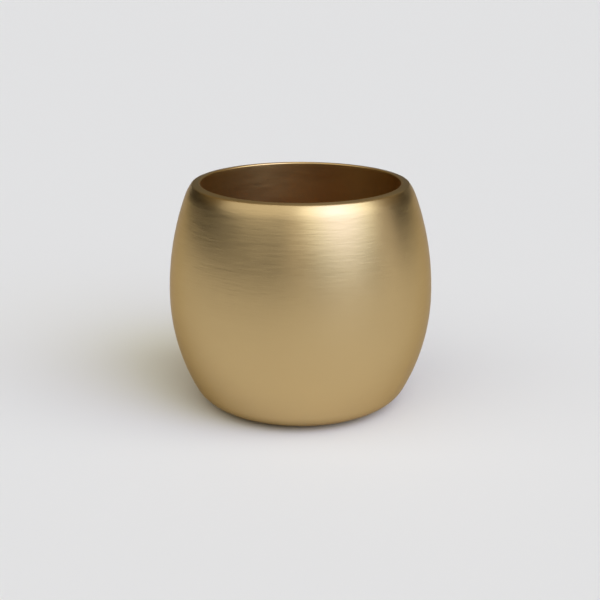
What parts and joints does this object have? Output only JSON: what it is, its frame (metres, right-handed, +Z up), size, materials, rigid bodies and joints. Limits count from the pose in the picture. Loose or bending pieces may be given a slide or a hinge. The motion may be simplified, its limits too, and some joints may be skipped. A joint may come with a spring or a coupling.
{
  "type": "cachepot",
  "caption": "Barrel-shaped hollow-walled cover pot in brushed brass that hides and holds a plant in its own grower's pot, with a narrow turned-in lip and non-slip pads underneath.",
  "frame": {"origin": "on the floor, under the middle of the pot, at the lower faces of the pads", "axes": "+Z up along the pot's axis of revolution; the pads lie on the diagonals between X and Y"},
  "size_m": [0.14, 0.14, 0.12],
  "materials": {
    "shell_brass": "brushed round the axis, satin, clear lacquer",
    "cup_brass": "spun, satin, clear lacquer",
    "plate_brass": "pressed, satin, clear lacquer",
    "pad_rubber": "matt black"
  },
  "bodies": {
    "root": {"outer_shell": "shell_brass", "inner_cup": "cup_brass", "base_plate": "plate_brass", "foot_pad_1": "pad_rubber", "foot_pad_2": "pad_rubber", "foot_pad_3": "pad_rubber", "foot_pad_4": "pad_rubber"}
  },
  "joints": []
}
